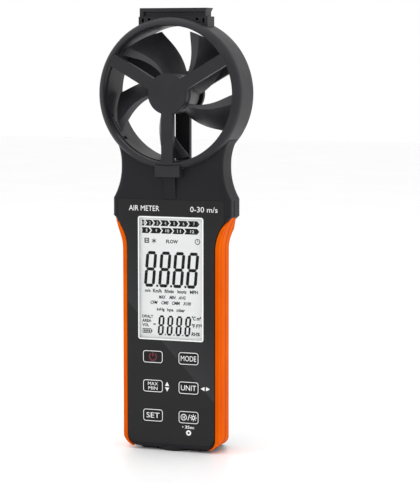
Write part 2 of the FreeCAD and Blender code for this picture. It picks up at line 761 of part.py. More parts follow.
def tripod_insert():
    return rod_z(4.0, base_z + 0.1, base_z + 7.9, 0, tripod_y).cut(rod_z(2.6, base_z - 1, base_z + 7.2, 0, tripod_y))


def shaft():
    return rod_y(shaft_r - 0.01, front_y + 1.5, guard_back_y - 1.1)


def bearing(y0, y1):
    return tube_y(bearing_r, shaft_r + 0.04, y0, y1)


def pickup_board():
    board = box(-9, 9, -4.2, -3.2, 117.0, 127.0)
    return board.fuse(box(-1.6, 1.6, -5.4, -4.2, 123.4, 126.4)).removeSplitter()


def guard_screws():
    out = []
    for a in spoke_angles:
        out.append(turned(screw(guard_screw_r, ring_z, guard_back_y - 1.5, 0.95, 0.5, 5.0, 1), a + 60))
    return out


# ---- build and write ----------------------------------------------------------------------
cover_screws = []
for (x, z), deep in zip(cover_posts, post_backs):
    head_y = deep - head_drop + 1.35
    cover_screws.append(screw(x, z, head_y, 2.2, 1.1, head_y + 4.5, 1))

save("front_case", [front_case()])
save("rear_case", [rear_case()])
save("battery_door", [battery_door()])
save("fascia_overlay", [fascia_overlay()])
save("display_window", [display_window()])
for key_name, place in zip(("power_key", "mode_key", "maxmin_key", "unit_key", "set_key", "hold_key"), key_places()):
    save(key_name, [key_cap(*place)])
grip_right, grip_left = both_sides(right_grip())
save("right_grip", [grip_right])
save("left_grip", [grip_left])
save("duct_band", [duct_band()])
save("duct_liner", [duct_liner()])
save("front_guard", [front_guard()])
save("rear_guard", [rear_guard()])
save("impeller", [impeller()])
save("impeller_shaft", [shaft()])
save("front_bearing", [bearing(front_y + 1.35, front_y + 3.2)])
save("rear_bearing", [bearing(guard_back_y - 2.6, guard_back_y - 0.95)])
save("hub_magnet", [tube_y(7.6, 2.65, -5.9, -3.6)])
save("pickup_board", [pickup_board()])
save("sensor_flex", [box(-4, 4, board_y + 0.3, board_y + 0.55, 114.1, 116.9)])
save("sensor_pod", [sensor_pod()])
save("pod_cap", [pod_cap()])
save("pod_board", [box(-12.8, 12.8, -4.6, 0.4, 201.1, 201.7)])
save("humidity_sensor", [box(-2.2, 2.2, -4.4, -1.8, 201.72, 202.7)])
save("lcd_panel", [box(-17.8, 17.8, face_y + 1.05, face_y + 3.3, lcd_z - 31.7, lcd_z + 31.7)])
save("lcd_backlight", [box(-16.7, 16.7, face_y + 3.4, -5.0, lcd_z - 30.7, lcd_z + 30.7)])
save("lcd_holder", [lcd_holder()])
save("zebra_strip", [box(-16.2, 16.2, face_y + 3.35, board_y - 0.03, lcd_z + 31.1, lcd_z + 31.65)])
save("main_board", [main_board()])
save("board_parts", board_parts())
save("tact_switches", tact_switches())
save("buzzer", [rod_y(4.5, board_y + board_t + 0.02, 3.4, 0, 24.0)])
save("board_screws", [screw(x, z, board_y + board_t + 1.03, 1.7, 0.9, 3.6, 1) for x, z in board_posts])
save("cover_screws", cover_screws)
save("guard_screws", guard_screws())
save("battery_tray", [battery_tray()])
save("battery_cells", battery_cells())
save("battery_contacts", battery_contacts())
save("tripod_boss", [tripod_boss()])
save("tripod_insert", [tripod_insert()])
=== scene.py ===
import bpy
import bmesh
import json
import math
from mathutils import Matrix, Vector


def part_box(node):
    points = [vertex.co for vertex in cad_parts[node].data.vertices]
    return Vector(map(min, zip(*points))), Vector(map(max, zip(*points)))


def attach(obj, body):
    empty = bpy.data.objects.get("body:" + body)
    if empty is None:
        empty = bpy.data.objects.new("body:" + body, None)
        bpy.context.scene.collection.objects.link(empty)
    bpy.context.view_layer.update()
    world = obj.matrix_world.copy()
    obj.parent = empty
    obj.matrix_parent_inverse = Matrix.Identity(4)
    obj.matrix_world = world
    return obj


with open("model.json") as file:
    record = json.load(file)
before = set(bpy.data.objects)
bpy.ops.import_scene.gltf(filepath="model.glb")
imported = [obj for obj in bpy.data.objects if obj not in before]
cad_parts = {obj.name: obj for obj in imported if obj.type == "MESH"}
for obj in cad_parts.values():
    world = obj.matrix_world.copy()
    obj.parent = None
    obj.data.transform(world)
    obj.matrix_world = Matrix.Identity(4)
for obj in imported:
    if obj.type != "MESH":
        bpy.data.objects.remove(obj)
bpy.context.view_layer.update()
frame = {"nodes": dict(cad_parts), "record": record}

nodes = frame["nodes"]
mm = 0.001
print("frame loaded:", len(nodes), "nodes")

# the front planes that carry print, and the display's middle height in millimetres
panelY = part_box("fascia_overlay")[0][1]
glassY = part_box("lcd_panel")[0][1]
windowLow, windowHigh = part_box("display_window")
windowY = windowLow[1]
displayMiddle = (windowLow[2] + windowHigh[2]) / 2 / mm
inkThick = 0.015 * mm
noiseSpread = (0.3, 0.7)    # most of a noise's values lie between these


def linear(hexText):
    channels = [int(hexText[i:i + 2], 16) / 255 for i in (0, 2, 4)]
    return (*[c / 12.92 if c <= 0.04045 else ((c + 0.055) / 1.055) ** 2.4 for c in channels], 1.0)


def addNode(tree, kind, inputs=None, **settings):
    node = tree.nodes.new("ShaderNode" + kind)
    for name, value in settings.items():
        setattr(node, name, value)
    for socket, value in (inputs or {}).items():
        if isinstance(value, bpy.types.NodeSocket):
            tree.links.new(value, node.inputs[socket])
        else:
            node.inputs[socket].default_value = value
    return node


def newMaterial(name):
    material = bpy.data.materials.new(name)
    material.use_nodes = True
    tree = material.node_tree
    tree.nodes.clear()
    place = addNode(tree, "TexCoord").outputs["Object"]
    return material, tree, place


def closeMaterial(tree, shader):
    addNode(tree, "OutputMaterial", {"Surface": shader.outputs[0]})


def twoTone(tree, factor, dark, light):
    ramp = addNode(tree, "ValToRGB", {"Fac": factor})
    for mark, position, tone in zip(ramp.color_ramp.elements, noiseSpread, (dark, light)):
        mark.position = position
        mark.color = linear(tone)
    return ramp.outputs["Color"]


# paints shade onto a tone by how far back a spot lies: stops are (distance back in mm, painted shade tint);
# a colour mix has its two colours in sockets 6 and 7
def paintedShadeAcross(tree, place, tone, stops):
    back = addNode(tree, "SeparateXYZ", {"Vector": place}).outputs["Y"]
    front, rear = stops[0][0], stops[-1][0]
    share = addNode(tree, "MapRange", {"Value": back, "From Min": front * mm, "From Max": rear * mm})
    ramp = addNode(tree, "ValToRGB", {"Fac": share.outputs["Result"]})
    marks = ramp.color_ramp.elements
    marks[0].color = linear(stops[0][1])
    marks[-1].color = linear(stops[-1][1])
    for at, tint in stops[1:-1]:
        marks.new((at - front) / (rear - front)).color = linear(tint)
    mix = addNode(tree, "Mix", {0: 1.0, 6: tone, 7: ramp.outputs["Color"]}, data_type="RGBA",
                  blend_type="MULTIPLY")
    return mix.outputs[2]


grainShare = 0.3    # depth of a grain's bump as a share of its size
coatRough = 0.05    # roughness of the clear coats
edgeSamples = 4


# a plastic, rubber, ink or metal: two tones in clouds of cloudMm, a bump in grains of grainMm that
# stretch can draw out, a roughness that varies with the clouds, with edgeMm a softened edge, and
# with paintedShade a painted shade that darkens the tone from front to back
def grainedFinish(name, look):
    material, tree, place = newMaterial(name)
    stretched = addNode(tree, "Mapping", {"Vector": place, "Scale": look.get("stretch", (1, 1, 1))})
    cloud = addNode(tree, "TexNoise", {"Vector": place, "Scale": 1 / (look["cloudMm"] * mm), "Detail": 4.0})
    grain = addNode(tree, "TexNoise", {"Vector": stretched.outputs[0], "Scale": 1 / (look["grainMm"] * mm),
                                       "Detail": 3.0})
    gloss = addNode(tree, "MapRange", {"Value": cloud.outputs["Fac"], "From Min": noiseSpread[0],
                                       "From Max": noiseSpread[1], "To Min": look["rough"][0],
                                       "To Max": look["rough"][1]})
    bump = addNode(tree, "Bump", {"Height": grain.outputs["Fac"], "Strength": look["bump"],
                                  "Distance": look["grainMm"] * mm * grainShare})
    if "edgeMm" in look:
        edge = addNode(tree, "Bevel", {"Radius": look["edgeMm"] * mm}, samples=edgeSamples)
        tree.links.new(edge.outputs["Normal"], bump.inputs["Normal"])
    tone = twoTone(tree, cloud.outputs["Fac"], look["dark"], look["light"])
    # painted shade: the tone is darkened from front to back by a ramp of tints
    if "paintedShade" in look:
        tone = paintedShadeAcross(tree, place, tone, look["paintedShade"])
    inputs = {
        "Base Color": tone,
        "Roughness": gloss.outputs["Result"],
        "Normal": bump.outputs["Normal"],
        "Metallic": look.get("metallic", 0.0),
        "Specular IOR Level": look.get("specular", 0.5),
        "Coat Weight": look.get("coat", 0.0),
        "Coat Roughness": coatRough,
    }
    if "ior" in look:
        inputs["IOR"] = look["ior"]
    closeMaterial(tree, addNode(tree, "BsdfPrincipled", inputs))
    return material


finishes = {}

# moulded ABS, spark eroded tool: a dry even charcoal with a fine tooth that breaks up highlights
finishes["case_abs"] = grainedFinish("sparkErodedAbs", dict(
    dark="19191c", light="1e1e21", cloudMm=14, grainMm=0.28, bump=0.3, rough=(0.5, 0.6), ior=1.52,
    specular=0.16, edgeMm=0.25))

# moulded ABS from a stoned tool: satin, a little paler, so the rims catch a soft streak of light
finishes["guard_abs"] = grainedFinish("satinAbs", dict(
    dark="262629", light="2c2c2f", cloudMm=10, grainMm=0.35, bump=0.2, rough=(0.42, 0.52), ior=1.52,
    specular=0.18, edgeMm=0.25))

# glass filled nylon blades: a paler grey than the case, with faint flow streaks out from the hub
finishes["impeller_abs"] = grainedFinish("glassFilledNylon", dict(
    dark="2e2e31", light="38383b", cloudMm=6, grainMm=0.3, bump=0.2, rough=(0.34, 0.46), ior=1.53,
    specular=0.45, stretch=(1.0, 0.5, 0.25)))

# silicone keys flush with the panel: same black, a touch duller than the film round them
finishes["key_plastic"] = grainedFinish("siliconeKey", dict(
    dark="17171a", light="1b1b1e", cloudMm=5, grainMm=0.2, bump=0.1, rough=(0.32, 0.42), ior=1.43,
    specular=0.2))

# overmoulded TPE: saturated orange, matt with a very fine suede tooth; painted shade darkens the
# orange down in the two flutes, at the seam along the front and somewhat towards the back
gripPaintedShade = ((-9.4, "8a8a8a"), (-9.0, "ffffff"), (-8.3, "f6f6f6"), (-7.6, "f0f0f0"), (-7.1, "b4b4b4"),
             (-6.5, "fbfbfb"), (-3.6, "f6f6f6"), (-1.9, "e6e6e6"), (-1.3, "acacac"), (-0.6, "f8f8f8"),
             (2.2, "f2f2f2"), (6.6, "cccccc"))
finishes["grip_tpe"] = grainedFinish("matteTpe", dict(
    dark="ec5c00", light="f86a04", cloudMm=18, grainMm=0.22, bump=0.25, rough=(0.55, 0.65), ior=1.5,
    specular=0.03, edgeMm=0.2, paintedShade=gripPaintedShade))

# display glass with its reflector behind: flat and pale grey with a slight cloudiness
finishes["lcd_glass"] = grainedFinish("displayGlass", dict(
    dark="e9ebeb", light="eff1f1", cloudMm=30, grainMm=0.12, bump=0.03, rough=(0.3, 0.4), ior=1.52,
    specular=0.2))

# milky PMMA light guide: near white, smooth, with faint clouds in it
finishes["light_guide"] = grainedFinish("milkyPmma", dict(
    dark="e3e6e8", light="f4f6f7", cloudMm=8, grainMm=0.5, bump=0.05, rough=(0.2, 0.3), ior=1.49))

# white polycarbonate frame: plain, slightly waxy
finishes["holder_plastic"] = grainedFinish("waxyPolycarbonate", dict(
    dark="d4d4cf", light="dddcd8", cloudMm=7, grainMm=0.3, bump=0.1, rough=(0.35, 0.45), ior=1.58))

# elastomeric connector: silicone with carbon layers, so a dull pink grey stripe
finishes["zebra_rubber"] = grainedFinish("zebraRubber", dict(
    dark="6b4e55", light="a87880", cloudMm=0.6, grainMm=0.1, bump=0.2, rough=(0.6, 0.7), ior=1.41,
    stretch=(6.0, 1.0, 1.0)))

# FR4 with green solder mask: glossy lacquer over a faint glass weave
finishes["board_fr4"] = grainedFinish("solderMask", dict(
    dark="0c4a24", light="14602f", cloudMm=3, grainMm=0.5, bump=0.2, rough=(0.22, 0.32), ior=1.55, coat=0.3))

# moulded epoxy of chips: flat black with a sandy tooth
finishes["chip_epoxy"] = grainedFinish("mouldedEpoxy", dict(
    dark="161616", light="222222", cloudMm=1.5, grainMm=0.12, bump=0.4, rough=(0.55, 0.68), ior=1.55))

# stamped stainless of the dome switches: bright with rolling marks along X
finishes["switch_steel"] = grainedFinish("stampedStainless", dict(
    dark="a9a9a8", light="c4c4c2", cloudMm=1.2, grainMm=0.1, bump=0.2, rough=(0.26, 0.38), metallic=1.0,
    stretch=(0.1, 1.0, 1.0)))

# black zinc on steel: dark grey metal, uneven where the driver bites
finishes["screw_steel"] = grainedFinish("blackZinc", dict(
    dark="3c3c3e", light="5a5a5c", cloudMm=0.7, grainMm=0.1, bump=0.25, rough=(0.3, 0.46), metallic=1.0))

# ground steel shaft: bright, with grinding lines round it
finishes["shaft_steel"] = grainedFinish("groundSteel", dict(
    dark="b4b5b6", light="cfd0d1", cloudMm=0.8, grainMm=0.06, bump=0.15, rough=(0.16, 0.24), metallic=1.0,
    stretch=(1.0, 6.0, 1.0)))

# sintered bronze: brown gold, porous
finishes["bearing_bronze"] = grainedFinish("sinteredBronze", dict(
    dark="8a6636", light="b88d50", cloudMm=0.4, grainMm=0.08, bump=0.5, rough=(0.38, 0.52), metallic=1.0))

# turned brass: yellow, with fine rings from the lathe
finishes["insert_brass"] = grainedFinish("turnedBrass", dict(
    dark="b8923e", light="dcb85e", cloudMm=1.4, grainMm=0.12, bump=0.2, rough=(0.2, 0.32), metallic=1.0,
    stretch=(1.0, 1.0, 5.0)))

# pressed ferrite: near black ceramic with a fine open grain
finishes["ferrite"] = grainedFinish("pressedFerrite", dict(
    dark="2b2b2d", light="3d3d40", cloudMm=1.0, grainMm=0.12, bump=0.45, rough=(0.55, 0.68), ior=2.3))

# nickel plated spring strip: pale warm mirror, slightly rippled
finishes["contact_nickel"] = grainedFinish("platedNickel", dict(
    dark="c4c0b5", light="dbd8cf", cloudMm=1.5, grainMm=0.6, bump=0.1, rough=(0.12, 0.22), metallic=1.0))

# shrunk PVC jacket of the cells: glossy dark blue grey, with a slight draw along the cell
finishes["cell_jacket"] = grainedFinish("shrunkPvcJacket", dict(
    dark="1d2531", light="2a3442", cloudMm=6, grainMm=1.2, bump=0.1, rough=(0.22, 0.32), ior=1.54, coat=0.3,
    stretch=(1.0, 1.0, 0.2)))

# plain moulded ABS of the tray: matt black
finishes["tray_abs"] = grainedFinish("mattAbs", dict(
    dark="1b1b1d", light="242427", cloudMm=8, grainMm=0.3, bump=0.3, rough=(0.5, 0.6), ior=1.52))

# polyimide flex: amber film with the copper showing faintly through
finishes["flex_film"] = grainedFinish("polyimideFlex", dict(
    dark="8f5010", light="b36a1a", cloudMm=0.8, grainMm=0.3, bump=0.1, rough=(0.25, 0.35), ior=1.7,
    stretch=(5.0, 1.0, 1.0)))


# hard coated polycarbonate film, printed black behind: satin gloss, a painted reflection (a broad paler
# sweep painted into the colour) that crosses it from beside the display down to the right, and a faint ripple
# from lamination
fasciaLook = dict(dark="151517", light="19191b", cloudMm=16, sweep="29292b",
                  reflectionMiddle=Vector((0, 0, 47.5)) * mm, reflectionTurn=-46.7, reflectionWidth=24, reflectionEdge=0.02,
                  rippleMm=9, rippleDeep=0.3, ripple=0.08, rough=(0.2, 0.3), ior=1.58, specular=0.2)


def fasciaFinish(look):
    material, tree, place = newMaterial("printedPolycarbonateFilm")
    cloud = addNode(tree, "TexNoise", {"Vector": place, "Scale": 1 / (look["cloudMm"] * mm), "Detail": 3.0})
    base = twoTone(tree, cloud.outputs["Fac"], look["dark"], look["light"])
    # painted reflection: a paler band with a sharp edge on one side that fades out on the other, mixed into
    # the colour
    centred = addNode(tree, "Mapping", {"Vector": place, "Location": -look["reflectionMiddle"]})
    across = addNode(tree, "Mapping", {
        "Vector": centred.outputs[0], "Rotation": (0, math.radians(look["reflectionTurn"]), 0),
        "Scale": (1 / (look["reflectionWidth"] * mm),) * 3})
    above = addNode(tree, "SeparateXYZ", {"Vector": across.outputs[0]}).outputs["Z"]
    reflectionBand = addNode(tree, "MapRange", {"Value": above, "From Min": -look["reflectionEdge"], "From Max": 0.0})
    fade = addNode(tree, "MapRange", {"Value": above, "To Min": 1.0, "To Max": 0.0})
    both = addNode(tree, "Math", {0: reflectionBand.outputs["Result"], 1: fade.outputs["Result"]}, operation="MULTIPLY")
    mix = addNode(tree, "Mix", {0: both.outputs[0], 6: base, 7: linear(look["sweep"])}, data_type="RGBA")
    ripple = addNode(tree, "TexNoise", {"Vector": place, "Scale": 1 / (look["rippleMm"] * mm), "Detail": 1.0})
    bump = addNode(tree, "Bump", {"Height": ripple.outputs["Fac"], "Strength": look["ripple"],
                                  "Distance": look["rippleDeep"] * mm})
    gloss = addNode(tree, "MapRange", {"Value": cloud.outputs["Fac"], "To Min": look["rough"][0],
                                       "To Max": look["rough"][1]})
    closeMaterial(tree, addNode(tree, "BsdfPrincipled", {
        "Base Color": mix.outputs[2], "Roughness": gloss.outputs["Result"], "Normal": bump.outputs["Normal"],
        "IOR": look["ior"], "Specular IOR Level": look["specular"]}))
    return material


finishes["fascia_film"] = fasciaFinish(fasciaLook)


# clear cast acrylic window: almost nothing to see but a gloss and a slight polish haze
windowLook = dict(dark="15181a", light="202426", hazeMm=7, rough=(0.06, 0.14), ior=1.49, alpha=0.04)


def windowFinish(look):
    material, tree, place = newMaterial("clearAcrylic")
    haze = addNode(tree, "TexNoise", {"Vector": place, "Scale": 1 / (look["hazeMm"] * mm), "Detail": 3.0})
    gloss = addNode(tree, "MapRange", {"Value": haze.outputs["Fac"], "To Min": look["rough"][0],
                                       "To Max": look["rough"][1]})
    closeMaterial(tree, addNode(tree, "BsdfPrincipled", {
        "Base Color": twoTone(tree, haze.outputs["Fac"], look["dark"], look["light"]),
        "Roughness": gloss.outputs["Result"], "IOR": look["ior"], "Alpha": look["alpha"]}))
    return material


finishes["window_acrylic"] = windowFinish(windowLook)


for row in frame["record"]["subparts"]:
    mesh = nodes[row["node"]].data
    mesh.materials.clear()
    mesh.materials.append(finishes[row["material_slot"]])
print("finishes made and put on:", len(finishes))


# screen printed inks: opaque, slightly raised, with a dry edge
inkLooks = dict(
    whiteInk=dict(dark="e6e6e6", light="f7f7f7", cloudMm=2.5, grainMm=0.15, bump=0.15, rough=(0.45, 0.6),
                  ior=1.5),
    redInk=dict(dark="5e1420", light="7a1c2a", cloudMm=1.2, grainMm=0.15, bump=0.15, rough=(0.45, 0.6),
                ior=1.5),
    segmentBlack=dict(dark="050506", light="0a0a0c", cloudMm=2.0, grainMm=0.1, bump=0.02, rough=(0.35, 0.45),
                      ior=1.52, specular=0.2),
    segmentPale=dict(dark="d9dddd", light="e4e7e7", cloudMm=2.0, grainMm=0.1, bump=0.02, rough=(0.35, 0.45),
                     ior=1.52, specular=0.2),
    windowRim=dict(dark="f4f5f5", light="fdfdfd", cloudMm=5, grainMm=0.2, bump=0.05, rough=(0.3, 0.4),
                   ior=1.5),
)
inks = {name: grainedFinish(name, look) for name, look in inkLooks.items()}


# flat shapes are drawn in millimetres in the XZ plane at y = 0, seen from the front
def addPlate(bm, corners):
    bm.faces.new([bm.verts.new((x, 0, z)) for x, z in corners])


def addRing(bm, x, z, radius, stroke, start=0.0, sweep=360.0, steps=28):
    angle = math.radians(start)
    ends = []
    for r in (radius - stroke / 2, radius + stroke / 2):
        ends.append(bm.verts.new((x + r * math.cos(angle), 0, z + r * math.sin(angle))))
    edge = bm.edges.new(ends)
    bmesh.ops.spin(bm, geom=ends + [edge], cent=(x, 0, z), axis=(0, -1, 0), angle=math.radians(sweep),
                   steps=steps, use_merge=sweep >= 360.0)


def addBar(bm, x, z, length, stroke, turn=0.0):
    c, s = math.cos(math.radians(turn)), math.sin(math.radians(turn))
    corners = [(-length, -stroke), (length, -stroke), (length, stroke), (-length, stroke)]
    addPlate(bm, [(x + (a * c - b * s) / 2, z + (a * s + b * c) / 2) for a, b in corners])


cornerSteps = 6    # facets of a rounded corner
letterSteps = 3    # facets of each curve in a letter


# rounded outline of a given stroke: a grid square, its corners rounded, then inset and opened
def addFrame(bm, x, z, width, height, radius, stroke):
    made = bmesh.ops.create_grid(bm, x_segments=1, y_segments=1, size=0.5)
    verts = made["verts"]
    bmesh.ops.scale(bm, verts=verts, vec=(width, height, 1))
    bmesh.ops.rotate(bm, verts=verts, matrix=Matrix.Rotation(math.pi / 2, 3, "X"))
    bmesh.ops.translate(bm, verts=verts, vec=(x, 0, z))
    rounded = bmesh.ops.bevel(bm, geom=verts, affect="VERTICES", offset=radius, offset_type="OFFSET",
                              segments=cornerSteps, profile=0.5, material=-1)
    plate = {f for v in rounded["verts"] for f in v.link_faces}
    bmesh.ops.inset_region(bm, faces=list(plate), thickness=stroke, use_even_offset=True,
                           use_boundary=True)
    bmesh.ops.delete(bm, geom=list(plate), context="FACES")


# words fitted to a width and a height round a middle point, in the built in letters
def addWords(bm, words, x, z, width, height, shear=0.0, bold=0.0):
    curve = bpy.data.curves.new("words", "FONT")
    curve.body = words
    curve.shear = shear
    curve.offset = bold
    curve.resolution_u = letterSteps
    holder = bpy.data.objects.new("words", curve)
    flat = bpy.data.meshes.new_from_object(holder)
    xs = [v.co.x for v in flat.vertices]
    ys = [v.co.y for v in flat.vertices]
    sx = width / (max(xs) - min(xs))
    sy = height / (max(ys) - min(ys))
    middle = Vector(((max(xs) + min(xs)) / 2, (max(ys) + min(ys)) / 2, 0))
    flat.transform(Matrix.Translation((x, 0, z)) @ Matrix.Rotation(math.pi / 2, 4, "X")
                   @ Matrix.Diagonal((sx, sy, 1, 1)) @ Matrix.Translation(-middle))
    bm.from_mesh(flat)
    bpy.data.meshes.remove(flat)
    bpy.data.objects.remove(holder)
    bpy.data.curves.remove(curve)


# middle of each bar of a digit: how far across from the middle, how far up, and whether it lies level
segmentPlaces = ((0, 1, True), (0.5, 0.75, False), (0.5, 0.25, False), (0, 0, True), (-0.5, 0.25, False),
                 (-0.5, 0.75, False), (0, 0.5, True))
# as shares of the bars' thickness: the gap at both ends, where a bar starts to narrow, and its point
segmentEnds = dict(gap=1.15, narrow=0.3, point=0.4)


# seven pointed bars leaning to the right; x and z are the middle of the digit
def addDigit(bm, x, z, look):
    stroke, lean = look["stroke"], look["lean"]
    half = stroke / 2
    for across, up, level in segmentPlaces:
        length = (look["width"] if level else look["height"] / 2) - stroke * segmentEnds["gap"]
        cx = across * (look["width"] - stroke)
        cz = (up - 0.5) * (look["height"] - stroke)
        run = length / 2 - stroke * segmentEnds["narrow"]
        tip = run + stroke * segmentEnds["point"]
        corners = [(-run, -half), (run, -half), (tip, 0), (run, half), (-run, half), (-tip, 0)]
        if not level:
            corners = [(-b, a) for a, b in corners]
        addPlate(bm, [(x + cx + a + lean * (cz + b), z + cz + b) for a, b in corners])


# gives the flat shapes their ink thickness, turns them to face out and puts them on the object
def finishPrint(name, bm, y, ink, body):
    bmesh.ops.recalc_face_normals(bm, faces=bm.faces)
    for face in bm.faces:
        if face.normal.y > 0:
            face.normal_flip()
    bmesh.ops.scale(bm, verts=bm.verts, vec=(mm, mm, mm))
    flat = bm.faces[:]
    raised = bmesh.ops.extrude_face_region(bm, geom=flat, use_keep_orig=True)
    lifted = [g for g in raised["geom"] if isinstance(g, bmesh.types.BMVert)]
    bmesh.ops.translate(bm, verts=lifted, vec=(0, -inkThick, 0))
    bmesh.ops.translate(bm, verts=bm.verts, vec=(0, y, 0))
    bmesh.ops.recalc_face_normals(bm, faces=bm.faces)
    mesh = bpy.data.meshes.new(name)
    bm.to_mesh(mesh)
    bm.free()
    mesh.materials.append(inks[ink])
    piece = bpy.data.objects.new(name, mesh)
    bpy.context.scene.collection.objects.link(piece)
    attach(piece, body)


# what the display shows, in millimetres from its middle
display = dict(
    rowTop=dict(z=25.75, height=2.7, edges=(-14.7, -12.9, -9.1, -5.4, -1.1, 3.35, 8.2, 13.7), first=1),
    rowLow=dict(z=22.25, height=2.7, edges=(-14.7, -10.5, -5.1, 0.5, 6.5, 13.6), first=8),
    # point is a chevron's length beyond its body; tip, back and the notches are shares of it
    chevron=dict(gap=0.35, point=1.15, tip=0.55, back=0.4, firstNotch=0.35, notch=0.85,
                 numberAside=0.55, numberHeight=1.45, oneDigit=0.75, twoDigits=1.9, bold=0.02),
    bigDigits=dict(xs=(-10.35, -3.25, 3.65, 10.5), z=4.15, width=5.45, height=16.8, stroke=1.5, lean=0.085),
    bigDots=dict(xs=(-7.0, -0.1, 7.0), z=-3.6, size=1.0),
    smallDigits=dict(xs=(-5.1, -0.7, 3.75, 8.15), z=-22.1, width=2.95, height=9.4, stroke=0.95, lean=0.085),
    smallDots=dict(xs=(-3.1, 1.3, 5.7), z=-26.4, size=0.55),
    minus=dict(x=-8.4, z=-21.7, length=1.2, stroke=0.6),
    # words, place of their middle, width, height and slope
    words=(
        ("FLOW", 0.4, 17.3, 5.9, 1.7, 0.0), ("m/s", -11.8, -5.95, 2.8, 1.45, 0.0),
        ("Km/h", -7.0, -5.95, 4.3, 1.75, 0.0), ("ft/min", -1.1, -5.95, 4.6, 1.75, 0.0),
        ("knots", 5.25, -5.95, 4.4, 1.65, 0.0), ("MPH", 11.2, -5.95, 3.9, 1.6, 0.0),
        ("MAX", -4.5, -8.8, 3.4, 1.6, 0.25), ("MIN", 0.6, -8.8, 3.2, 1.6, 0.25),
        ("AVG", 5.35, -8.8, 3.7, 1.6, 0.25),
        ("CFM", -8.65, -11.45, 3.6, 1.6, 0.25), ("CMS", -3.15, -11.45, 3.7, 1.6, 0.25),
        ("CMM", 2.3, -11.45, 4.1, 1.6, 0.25), ("X100", 7.75, -11.45, 4.0, 1.6, 0.25),
        ("inHg", -5.3, -14.75, 3.9, 1.8, 0.0), ("hpa", -0.5, -14.85, 3.1, 1.9, 0.0),
        ("mbar", 4.7, -14.65, 4.2, 1.65, 0.0),
        ("DP/ALT", -11.85, -18.15, 5.4, 1.45, 0.0), ("AREA", -12.3, -20.15, 4.6, 1.45, 0.0),
        ("VOL", -12.9, -22.2, 3.4, 1.45, 0.0), ("°C m²", 12.4, -18.1, 4.6, 2.0, 0.15),
        ("°F FT²", 12.6, -21.7, 5.0, 2.0, 0.15), ("RH%", 12.1, -25.5, 4.3, 1.75, 0.15),
    ),
    wordsBold=0.035,
    lock=dict(x=-12.2, z=17.5, width=2.3, height=2.4, corner=0.2, stroke=0.38, inner=0.3, bridge=0.9,
              post=1.4, postAside=0.5),
    frost=dict(x=-8.6, z=17.4, length=2.4, stroke=0.36, turns=(90, 30, -30)),
    clock=dict(x=13.0, z=17.6, radius=1.15, stroke=0.36, hand=0.25, minute=0.8, minuteUp=0.35, hour=0.6,
               hourAside=0.25),
    battery=dict(x=-12.2, z=-24.95, width=4.4, height=2.3, corner=0.35, stroke=0.34, nubAside=2.45,
                 nub=(0.4, 1.1), cellsAside=(-1.1, 0, 1.1), cell=(0.75, 1.2)),
)


def chevronRow(bm, numbers, row, look):
    edges, z, point = row["edges"], row["z"], look["point"]
    low, high = z - row["height"] / 2, z + row["height"] / 2
    for i in range(len(edges) - 1):
        left, right = edges[i], edges[i + 1] - look["gap"]
        back, tip = right - point * look["back"], right + point * look["tip"]
        notch = left + point * (look["firstNotch"] if i == 0 else look["notch"])
        addPlate(bm, [(left, low), (back, low), (tip, z), (back, high), (left, high), (notch, z)])
        number = str(row["first"] + i)
        width = look["oneDigit"] if len(number) == 1 else look["twoDigits"]
        addWords(numbers, number, (left + right) / 2 + look["numberAside"], z, width, look["numberHeight"],
                 bold=look["bold"])


def addLock(bm, look):
    x, z = look["x"], look["z"]
    addFrame(bm, x, z, look["width"], look["height"], look["corner"], look["stroke"])
    addBar(bm, x, z, look["bridge"], look["inner"])
    for side in (-1, 1):
        addBar(bm, x + side * look["postAside"], z, look["post"], look["inner"], 90)


def addFrost(bm, look):
    for turn in look["turns"]:
        addBar(bm, look["x"], look["z"], look["length"], look["stroke"], turn)


def addClock(bm, look):
    x, z = look["x"], look["z"]
    addRing(bm, x, z, look["radius"], look["stroke"])
    addBar(bm, x, z + look["minuteUp"], look["minute"], look["hand"], 90)
    addBar(bm, x + look["hourAside"], z, look["hour"], look["hand"])


def addBattery(bm, look):
    x, z = look["x"], look["z"]
    addFrame(bm, x, z, look["width"], look["height"], look["corner"], look["stroke"])
    addBar(bm, x + look["nubAside"], z, *look["nub"])
    for aside in look["cellsAside"]:
        addBar(bm, x + aside, z, *look["cell"])


def makeDisplay(look):
    bm = bmesh.new()
    numbers = bmesh.new()
    chevronRow(bm, numbers, look["rowTop"], look["chevron"])
    chevronRow(bm, numbers, look["rowLow"], look["chevron"])
    for digits in (look["bigDigits"], look["smallDigits"]):
        for x in digits["xs"]:
            addDigit(bm, x, digits["z"], digits)
    for dots in (look["bigDots"], look["smallDots"]):
        for x in dots["xs"]:
            addBar(bm, x, dots["z"], dots["size"], dots["size"])
    minus = look["minus"]
    addBar(bm, minus["x"], minus["z"], minus["length"], minus["stroke"])
    for words, x, z, width, height, shear in look["words"]:
        addWords(bm, words, x, z, width, height, shear=shear, bold=look["wordsBold"])
    addLock(bm, look["lock"])
    addFrost(bm, look["frost"])
    addClock(bm, look["clock"])
    addBattery(bm, look["battery"])
    for shapes in (bm, numbers):
        bmesh.ops.translate(shapes, verts=shapes.verts, vec=(0, 0, displayMiddle))
    finishPrint("displaySegments", bm, glassY, "segmentBlack", "handset")
    finishPrint("chevronNumbers", numbers, glassY - inkThick, "segmentPale", "handset")


makeDisplay(display)
print("display drawn")


# white print on the panel, in millimetres; each of the two words has its middle, width and height
panelPrint = dict(
    wordsZ=113.9,
    words=(("AIR METER", -13.1, 15.2, 2.45), ("0-30 m/s", 16.5, 13.4, 2.5)),
    upDown=dict(aside=7.1, near=0.35, far=2.3, half=1.05),        # arrows beside MAX MIN
    leftRight=dict(aside=8.3, near=0.35, far=2.3, half=1.0),      # and beside UNIT
    # under the last key: a small arrow head, how long to press, and a ring
    pressHead=dict(aside=-3.1, down=4.6, length=0.6, half=0.4),
    pressTime=dict(words="3Sec", aside=0.5, down=4.6, width=4.6, height=1.45, bold=0.02),
    pressRing=dict(down=7.3, radius=0.9, stroke=0.75),
)


# middle of a key in millimetres
def keyMiddle(key):
    low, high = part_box(key)
    return (low[0] + high[0]) / 2 / mm, (low[2] + high[2]) / 2 / mm


